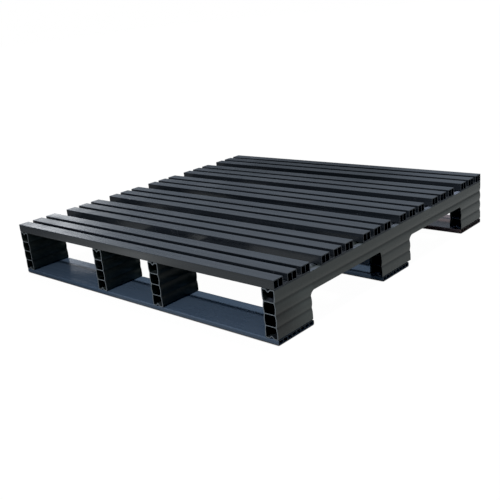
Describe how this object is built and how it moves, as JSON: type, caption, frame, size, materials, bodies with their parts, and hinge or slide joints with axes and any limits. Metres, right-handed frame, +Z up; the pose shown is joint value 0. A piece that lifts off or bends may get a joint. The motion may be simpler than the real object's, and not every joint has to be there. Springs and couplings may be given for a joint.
{
  "type": "plastic pallet",
  "caption": "Low slatted pallet of extruded hollow plastic boards: ribbed deck on notched ladder-section stringers over thin bottom boards, open to forks on every side.",
  "frame": {"origin": "centre of the footprint, on the floor", "axes": "+X along the deck boards to the right, +Y along the stringers to the rear, +Z up"},
  "size_m": [1, 1, 0.154],
  "materials": {
    "deck_plastic": "black extruded plastic, satin, fine lengthwise die lines",
    "stringer_plastic": "black extruded plastic, satin, softly dented side walls, greyer saw-cut ends",
    "base_plastic": "black extruded plastic, satin, smooth top, scuffed underside",
    "screw_steel": "zinc-plated steel"
  },
  "bodies": {
    "root": {"top_deck_board_1": "deck_plastic", "top_deck_board_2": "deck_plastic", "top_deck_board_3": "deck_plastic", "top_deck_board_4": "deck_plastic", "top_deck_board_5": "deck_plastic", "top_deck_board_6": "deck_plastic", "stringer_left_outer": "stringer_plastic", "stringer_left_inner": "stringer_plastic", "stringer_right_inner": "stringer_plastic", "stringer_right_outer": "stringer_plastic", "bottom_board_front": "base_plastic", "bottom_board_middle": "base_plastic", "bottom_board_rear": "base_plastic", "deck_screws_board_1": "screw_steel", "deck_screws_board_2": "screw_steel", "deck_screws_board_3": "screw_steel", "deck_screws_board_4": "screw_steel", "deck_screws_board_5": "screw_steel", "deck_screws_board_6": "screw_steel", "bottom_screws_front": "screw_steel", "bottom_screws_middle": "screw_steel", "bottom_screws_rear": "screw_steel"}
  },
  "joints": []
}
